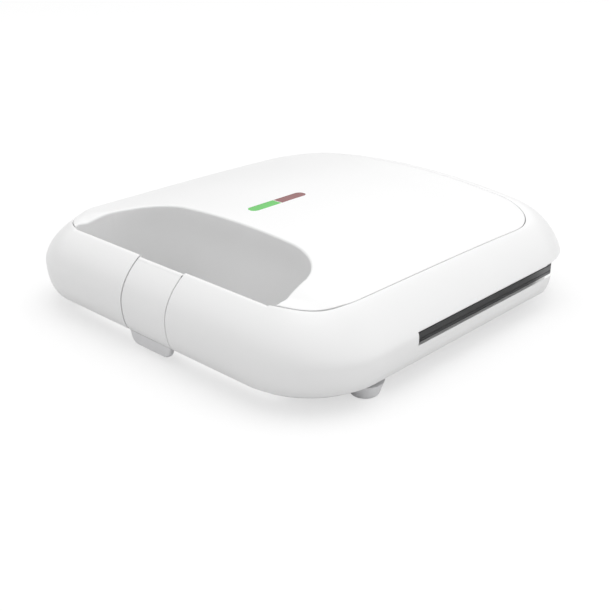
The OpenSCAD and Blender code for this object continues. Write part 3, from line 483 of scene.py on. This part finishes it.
def lid_shell():
    """Shell of the lid as one closed band: outer skin, edge roll, wall of the
    groove or slab of the bar, inner skin, and a round lip under the skirt."""
    st = mirror_stations(outline_stations())
    depth = boundary_depth(st)
    bar = st[:, 1] - st[:, 3] * depth < BAR_Y + 0.01
    r = np.where(bar, BAR_ROLL, GROOVE_ROLL)
    outer = section(st, depth - r)
    down = np.gradient(outer, axis=1)
    plan = np.stack([st[:, 2], st[:, 3], 0 * st[:, 2]], -1)
    dn = -(down * plan[:, None]).sum(-1)
    nrm = unit(plan[:, None] * down[..., 2:3] + np.array([0, 0, 1.0]) * dn[..., None])
    inner = outer - WALL * nrm
    slab_y = BAR_Y - SLAB
    inner[bar, :, 1] = np.minimum(inner[bar, :, 1], slab_y)
    # The window's sill slopes down inwards
    low_in = np.linspace(SKIRT + LIP_H, WIN_Z0 - WALL, N_LOW)
    inner[:, :N_LOW, 2] = np.minimum(inner[:, :N_LOW, 2], low_in)
    rr = r[:, None]
    m = -plan
    q, nq = outer[:, -1], nrm[:, -1]
    mt = unit(m - (m * nq).sum(-1, keepdims=True) * nq)
    edge = roll(q, mt, nq, rr)
    last = edge[-1]
    wall = []
    foot_z = np.where(bar, SLAB_Z, last[:, 2] - GROOVE_DEEP)
    for f in (0.25, 0.6, 1.0):
        w = last.copy()
        w[:, 1] = np.where(bar, BAR_Y, w[:, 1])
        w[:, 2] += (foot_z - last[:, 2]) * f
        wall.append(w)
    back = wall[-1].copy()
    back[:, 1] = np.where(bar, slab_y, inner[:, -1, 1])
    back[:, 0] = np.where(bar, back[:, 0], inner[:, -1, 0])
    back[:, 2] = np.where(bar, SLAB_Z, np.minimum(inner[:, -1, 2], foot_z))
    lip = []
    p0, p1 = outer[:, 0], inner[:, 0]
    for f in np.linspace(0, 1, 6)[1:-1]:
        a = f * math.pi
        w = (p0 + p1) / 2 + (p1 - p0) / 2 * -math.cos(a)
        w[:, 2] -= LIP_H * math.sin(a)
        lip.append(w)
    n_out = outer.shape[1]
    rows = [outer[:, j] for j in range(n_out)] + edge + wall + [back]
    rows += [inner[:, j] for j in range(n_out - 1, -1, -1)] + lip[::-1]
    g = np.stack(rows, 1)
    nu, nv = g.shape[:2]
    top = n_out + len(edge) + len(wall) + 1
    x, y = st[:, 0], st[:, 1]
    mid_y = (y[:-1] + y[1:]) / 2
    rear = mid_y > WIN_Y1
    in_win = (np.abs(x[:-1]) > HALF_W - 3) & (mid_y > WIN_Y0) & ~rear
    j0, j1 = N_LOW - 1, N_LOW - 1 + N_WIN

    def skip(i, j):
        k = 2 * n_out + len(edge) + len(wall) - j
        if rear[i]:
            return j < j1 or j >= top + n_out - 1 - j1
        return in_win[i] and (j0 <= j < j1 or (j >= top and j0 <= k < j1))

    faces = grid_faces(nu, nv, wrap_v=True, skip=skip)

    def row_in(j):
        """Row of the inner skin that lies behind row j of the outer one."""
        return top + (n_out - 1 - j)

    # Edges of the two windows and of the back, from the outer to the inner skin
    for i in np.nonzero(in_win | rear)[0]:
        a, b = i * nv, (i + 1) * nv
        for j in (j1,) if rear[i] else (j0, j1):
            faces.append((a + j, b + j, b + row_in(j), a + row_in(j)))
    for i in range(1, nu - 1):
        a = i * nv
        if in_win[i] != in_win[i - 1] and not (rear[i] or rear[i - 1]):
            for j in range(j0, j1):
                faces.append((a + j, a + j + 1, a + row_in(j + 1), a + row_in(j)))
        if rear[i] != rear[i - 1]:
            ring = list(range(j0 + 1)) + list(range(row_in(j0), nv))
            faces.append(tuple(a + j for j in ring))
    # Ends at the latch
    faces += end_faces(nu, nv)
    verts = g.reshape(-1, 3)
    # Slab of the bar behind the latch
    ends = ((-LATCH_X - 0.2, LATCH_X + 0.2), (slab_y, BAR_Y), (SLAB_Z, PIN_Z + 0.3))
    box = [(x, y, z) for x in ends[0] for y in ends[1] for z in ends[2]]
    base = len(verts)
    verts = np.concatenate([verts, box])
    faces += box_faces(base)
    return new_piece("lid_shell_skin", verts, faces, "lid", ["lid_shell"], WHITE, 38)


def grip_path():
    """Right half of the opening's edge in plan, from the panel's tip to the back."""
    fx, fy = GRIP_W - GRIP_RF, BAR_Y + GRIP_RF
    bx, by = GRIP_BX - GRIP_RB, BAR_Y + GRIP_D - GRIP_RB
    gap = math.hypot(fx - bx, by - fy)
    lean = math.degrees(math.atan2(fy - by, fx - bx) + math.acos((GRIP_RB - GRIP_RF) / gap))
    a0 = math.degrees(math.asin((TIP_Y - fy) / GRIP_RF))
    return np.concatenate([
        arc(fx, fy, GRIP_RF, a0, lean, 14), arc(bx, by, GRIP_RB, lean, 90, 40), [(0, by + GRIP_RB)],
    ])


def panel_path():
    """Right half of the top panel's outer edge in plan, from the tip to the back."""
    w, g = PANEL_W - GROOVE, GROOVE
    fr, fy = PANEL_FR - g, PANEL_Y0 + PANEL_FR
    br, by = PANEL_BR - g, PANEL_Y1 - PANEL_BR
    a0 = math.degrees(math.asin((TIP_Y - fy) / fr))
    return np.concatenate([
        arc(w - fr, fy, fr, a0, 0, 40), arc(w - br, by, br, 0, 90, 30), [(0, by + br)],
    ])


def side_dirs(p, out):
    """Unit plan normals of a path, to its right if out is 1 and left if -1."""
    t = unit(np.gradient(p, axis=0))
    return np.stack([t[:, 1] * out, -t[:, 0] * out, 0 * t[:, 0]], -1)


def lid_top_panel():
    """Top panel as a strip from its outer edge to the grip's edge, closed by the
    wall of the grip and an underside 2.5 mm below."""
    n = 150
    c1, c0 = mirrored(along(panel_path(), n)), mirrored(along(grip_path(), n))
    m1, m0 = side_dirs(c1, 1), side_dirs(c0, -1)
    wide = np.linalg.norm(c1 - c0, axis=1, keepdims=True)
    r1, r0 = np.minimum(GROOVE_ROLL, wide * 0.2), np.minimum(GRIP_ROLL, wide * 0.6)
    a, b = c1 - m1[:, :2] * r1, c0 - m0[:, :2] * r0
    fr = np.linspace(0, 1, 41)
    fr = fr * fr * (3 - 2 * fr) * 0.5 + fr * 0.5
    top = [a * (1 - f) + b * f for f in fr]
    top = [np.concatenate([p, skin_z(p[:, 0], p[:, 1])[:, None]], 1) for p in top]
    na, nb = top_normal(a[:, 0], a[:, 1]), top_normal(b[:, 0], b[:, 1])
    ta = unit(m1 - (m1 * na).sum(-1, keepdims=True) * na)
    tb = unit(m0 - (m0 * nb).sum(-1, keepdims=True) * nb)
    out_roll = roll(top[0], ta, na, r1)[::-1]
    wall1 = out_roll[0].copy()
    wall1[:, 2] -= GROOVE_DEEP
    in_roll = roll(top[-1], tb, nb, r0, 6)
    rows = [wall1] + out_roll + top + in_roll
    end = in_roll[-1]
    for z in GRIP_ROWS:
        w = end.copy()
        w[:, :2] = c0
        w[:, 2] = np.minimum(z, end[:, 2] - 0.2)
        rows.append(w)
    for off, z in GRIP_INNER:
        w = end.copy()
        w[:, :2] = c0 - m0[:, :2] * off
        w[:, 2] = np.minimum(z, skin_z(w[:, 0], w[:, 1]) - WALL - 0.1)
        rows.append(w)
    # Underside, below four of the top's rows
    for k in (-6, -20, 20, 2):
        w = top[k].copy()
        w[:, 2] -= WALL
        rows.append(w)
    g = np.stack(rows, 1)
    nu, nv = g.shape[:2]
    faces = grid_faces(nu, nv, wrap_v=True) + end_faces(nu, nv)
    return new_piece("lid_panel_skin", g.reshape(-1, 3), faces, "lid", ["lid_top_panel"], WHITE, 38)


# ------------------------------------------------------------------- latch
def bar_profile():
    """Section of the band's outer face in y, z: up the back of the bar, a quarter
    roll over its edge, then the bar's skin down to the skirt."""
    y0, r = BAR_Y - LATCH_GAP, BAR_ROLL
    a0 = math.asin((1 - (y0 - r + HALF_D) / FRONT_RUN) ** (FRONT_FULL / 2))
    a = np.linspace(a0, math.pi / 2, 40)
    k = 1 - np.cos(a) ** (2 / FRONT_FULL)
    inset = FRONT_RUN * (1 - np.sin(a) ** (2 / FRONT_FULL))
    up = np.stack([inset - HALF_D, TOP * (1 - k) + WAIST * k], -1)
    t = unit(up[0] - up[1])
    n = np.array([-t[1], t[0]])
    lip = np.array(roll(up[0], t, n, r, 8))
    lip[:, 0] = np.minimum(lip[:, 0], y0)
    z = np.linspace(WAIST, SKIRT + 0.2, 18)[1:]
    back = [(lip[-1, 0], PIN_Z + 2)]
    under = np.stack([under_in(z) - HALF_D, z], -1)
    return along(np.concatenate([back, lip[::-1], up, under]), 120)


def latch_band():
    """Band across the bar: the bar's section run along x, with rolled edges, an
    inner face 2.2 mm behind it and a flange down the back of the bar."""
    p = bar_profile()
    t = unit(np.gradient(p, axis=0))
    n = np.stack([t[:, 1], -t[:, 0]], -1)
    if n[90, 0] > 0:
        n = -n
    w, r, turn = LATCH_W / 2, 0.45, np.linspace(0, math.pi / 2, 6)
    side = [(-w + r * (1 - math.cos(a)), r * (1 - math.sin(a))) for a in turn]
    level = list(np.linspace(-w + r, w - r, 9)[1:-1])
    xs = [x for x, _ in side] + level + [-x for x, _ in side[::-1]]
    dp = [d for _, d in side] + [0] * len(level) + [d for _, d in side[::-1]]
    grid = []
    for x, d in zip(xs, dp):
        o = p - n * d
        i = p - n * LATCH_WALL
        ring = np.concatenate([o, i[::-1]])
        grid.append(np.concatenate([np.full((len(ring), 1), x), ring], 1))
    g = np.stack(grid, 0)
    nu, nv = g.shape[:2]
    faces = grid_faces(nu, nv, wrap_v=True)
    h = nv // 2
    for i in (0, nu - 1):
        for j in range(h - 1):
            faces.append((i * nv + j, i * nv + j + 1, i * nv + nv - 2 - j, i * nv + nv - 1 - j))
    verts = g.reshape(-1, 3)
    # The two ears and the nib
    blocks = []
    for s in (-1, 1):
        x0, x1 = sorted((s * (w - LATCH_EAR), s * w))
        blocks.append(((x0, PIN_Y - EAR_FRONT, PIN_Z - EAR_LOW), (x1, PIN_Y, PIN_Z + EAR_HIGH)))
    ny = -HALF_D + float(under_in(np.array(SKIRT + 0.6))) + LATCH_WALL - 0.6
    nib_y = -HALF_D + NIB_RECESS - NIB_GAP
    blocks.append(((-NIB_X, ny, SKIRT + 0.4), (NIB_X, nib_y, SKIRT + 2.0)))
    for a, b in blocks:
        base = len(verts)
        box = [(x, y, z) for x in (a[0], b[0]) for y in (a[1], b[1]) for z in (a[2], b[2])]
        verts = np.concatenate([verts, box])
        faces += box_faces(base)
    # Barrels round the pin
    for s in (-1, 1):
        base, k = len(verts), 20
        ang = np.linspace(0, 2 * math.pi, k, endpoint=False)
        ring = []
        for x in (s * (w - LATCH_EAR), s * w):
            for rad in (BOSS_R, PIN_BORE):
                ring += [(x, PIN_Y + rad * math.cos(v), PIN_Z + rad * math.sin(v)) for v in ang]
        verts = np.concatenate([verts, ring])
        for i in range(k):
            j = (i + 1) % k
            o0, i0, o1, i1 = base, base + k, base + 2 * k, base + 3 * k
            faces += [(o0 + i, o0 + j, o1 + j, o1 + i), (i0 + j, i0 + i, i1 + i, i1 + j),
                      (o0 + j, o0 + i, i0 + i, i0 + j), (o1 + i, o1 + j, i1 + j, i1 + i)]
    return new_piece("latch_band_skin", verts, faces, "latch", ["latch_band"], WHITE, 38)


def latch_tab():
    """Finger tab: a rounded slab whose outline shrinks over a small edge roll."""
    w, top, r = LATCH_W / 2 - 0.5, SKIRT + 0.1, TAB_R
    y1 = -HALF_D + float(under_in(np.array(SKIRT))) + 3
    half = np.concatenate([[(w, top)], arc(w - r - 0.8, TAB_Z + r, r, -10, -90, 14), [(0, TAB_Z)]])
    path = mirrored(along(half, 40))
    t = unit(np.gradient(path, axis=0))
    n = np.stack([-t[:, 1], t[:, 0]], -1)
    if n[40, 1] > 0:
        n = -n
    e, thick = TAB_EDGE, TAB_THICK
    rows = []
    for a in np.linspace(0, math.pi / 2, 6):
        rows.append((e * (1 - math.sin(a)), e * (1 - math.cos(a))))
    rows = rows + [(d, thick - y) for d, y in rows[::-1]]
    g = []
    for d, y in rows:
        q = path - n * d
        g.append(np.stack([q[:, 0], np.full(len(q), y1 - thick + y), np.minimum(q[:, 1], top)], -1))
    g = np.stack(g, 1)
    nu, nv = g.shape[:2]
    faces = grid_faces(nu, nv)
    faces.append(tuple(i * nv for i in range(nu))[::-1])
    faces.append(tuple(i * nv + nv - 1 for i in range(nu)))
    faces.append(tuple(range(nv)) + tuple((nu - 1) * nv + j for j in range(nv - 1, -1, -1)))
    return new_piece("latch_tab_skin", g.reshape(-1, 3), faces, "latch", ["latch_tab"], GREY, 40)


# --------------------------------------------------------------- indicator
def lens(name, y0, y1, round0, round1, node, mat):
    """Stadium half on the crown: rings shrink inwards while the height follows
    skin_z, so the lens stands 0.05 mm proud with a rolled edge."""
    r = LAMP_W / 2
    a = arc(0, y0 + r, r, 180, 360, 24) if round0 else np.array([(-r, y0), (r, y0)])
    b = arc(0, y1 - r, r, 0, 180, 24) if round1 else np.array([(r, y1), (-r, y1)])
    path = np.concatenate([a, b])
    rows = []
    for d, dz in LENS_ROWS:
        x = path[:, 0] * (1 - d / r) + LAMP_X
        y = np.clip(path[:, 1], y0 + d, y1 - d)
        rows.append(np.stack([x, y, skin_z(x, y) + dz], -1))
    g = np.stack(rows, 0)
    nu, nv = g.shape[:2]
    faces = grid_faces(nu, nv, wrap_v=True)
    faces.append(tuple(range((nu - 1) * nv, nu * nv)))
    return new_piece(name, g.reshape(-1, 3), faces, "lid", [node], mat, 50)


def lens_mat(name, a, b, glow):
    """Clear dyed plastic: tone varied by a broad noise, with a faint glow."""
    p = Paint(name, rough=0.25, Emission_Strength=glow, Emission_Color=(*b, 1))
    broad = p.noise(120.0, 2.0)
    p.set(Base_Color=p.mix(broad, a, b))
    p.bump(p.noise(700.0), 0.04)
    return p.mat


# ------------------------------------------------------------------- build
lid_shell()
lid_top_panel()
latch_band()
latch_tab()
GREEN = lens_mat("green_lens", (0.08, 0.46, 0.07), (0.11, 0.52, 0.10), 0.02)
RED = lens_mat("red_lens", (0.21, 0.065, 0.065), (0.25, 0.08, 0.085), 0.0)
mid = LAMP_Y0 + LAMP_LEN / 2
lens("ready_lens_skin", LAMP_Y0, mid - 0.05, True, False, "ready_lens", GREEN)
lens("power_lens_skin", mid + 0.05, LAMP_Y0 + LAMP_LEN, False, True, "power_lens", RED)
for node in ("base_shell", "lower_plate", "upper_plate", "terminal_block"):
    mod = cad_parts[node].modifiers.new("edge", "BEVEL")
    mod.width, mod.segments, mod.harden_normals = 0.00035, 2, False
    mod.limit_method, mod.angle_limit = "ANGLE", math.radians(40)

# -------------------------------------------------------------- floor, light
# The sky's strength at the horizon, what is added overhead and what the flag takes
SKY_LOW, SKY_UP, SKY_FLAG = 0.24, 0.90, 0.14
# Half the floor's side in metres, its albedo for light and for the camera, its glow
FLOOR, FLOOR_LIGHT, FLOOR_SEEN, FLOOR_GLOW = 6.0, 0.74, 0.36, 0.585
me = bpy.data.meshes.new("floor")
corners = [(-FLOOR, -FLOOR, 0), (FLOOR, -FLOOR, 0), (FLOOR, FLOOR, 0), (-FLOOR, FLOOR, 0)]
me.from_pydata(corners, [], [(0, 1, 2, 3)])
floor = bpy.data.objects.new("floor", me)
bpy.context.collection.objects.link(floor)
fp = Paint("floor_white", rough=0.9, Emission_Strength=1.0, Specular_IOR_Level=0.0)
# The camera sees a paler floor than the one that lights the toaster from below
seen = fp.sock(fp.node("ShaderNodeLightPath").outputs["Is Camera Ray"])
tone = fp.noise(3.0) * 0.02
fp.set(Base_Color=fp.mix(seen, fp.grey(tone + FLOOR_LIGHT), fp.grey(tone + FLOOR_SEEN)),
       Emission_Color=fp.mix(seen, (0.0, 0.0, 0.0), (FLOOR_GLOW,) * 3))
floor.data.materials.append(fp.mat)

world = bpy.data.worlds.new("studio")
bpy.context.scene.world = world
world.use_nodes = True
wt = world.node_tree


def world_sock(kind, name):
    return Sock(wt, wt.nodes.new(kind).outputs[name])


# Soft room: brighter overhead than at the horizon, darker towards the front right
# corner, and plain white for the camera
split = wt.nodes.new("ShaderNodeSeparateXYZ")
wt.links.new(world_sock("ShaderNodeTexCoord", "Generated").out, split.inputs[0])
up = Sock(wt, split.outputs["Z"]).clamp()
side = (Sock(wt, split.outputs["X"]) * 0.68 + Sock(wt, split.outputs["Y"]) * -0.73).clamp()
eye = world_sock("ShaderNodeLightPath", "Is Camera Ray")
sky = (up * 3.6 - 0.45).clamp() * SKY_UP + SKY_LOW - side * SKY_FLAG
bg = wt.nodes["Background"]
bg.inputs["Color"].default_value = (1, 1, 1, 1)
wt.links.new((sky + eye * (1.0 - sky)).out, bg.inputs["Strength"])


def lamp(name, place, target, size, power, colour=(1, 1, 1)):
    """Square soft box at a place in metres, facing the target."""
    data = bpy.data.lights.new(name, "AREA")
    data.size, data.energy, data.color = size, power, colour
    ob = bpy.data.objects.new(name, data)
    d = np.array(target) - np.array(place)
    ob.rotation_euler = Vector(d).to_track_quat("-Z", "Y").to_euler()
    ob.location = place
    bpy.context.collection.objects.link(ob)


lamp("key", (0.1, 0.25, 1.5), (0, 0, 0), 1.0, 4.5)
lamp("side", (1.3, 0.9, 0.45), (0, 0, 0.03), 0.8, 2.0)

# Camera fitted to the photograph: focal length and width in pixels, turn about +Z
# and tilt below the horizon in radians, place in metres
FOCAL_PX, WIDTH_PX, SENSOR = 995.3, 611, 36.0
CAM_AZ, CAM_EL, CAM_PLACE = 0.75633, 0.42192, (0.37006, -0.39319, 0.23314)
cam_data = bpy.data.cameras.new("camera")
cam_data.sensor_width, cam_data.lens = SENSOR, SENSOR * FOCAL_PX / WIDTH_PX
cam = bpy.data.objects.new("camera", cam_data)
cam.location = CAM_PLACE
cam.rotation_euler = (math.pi / 2 - CAM_EL, 0, CAM_AZ)
bpy.context.collection.objects.link(cam)
bpy.context.scene.camera = cam
bpy.context.scene.view_settings.view_transform = "Standard"
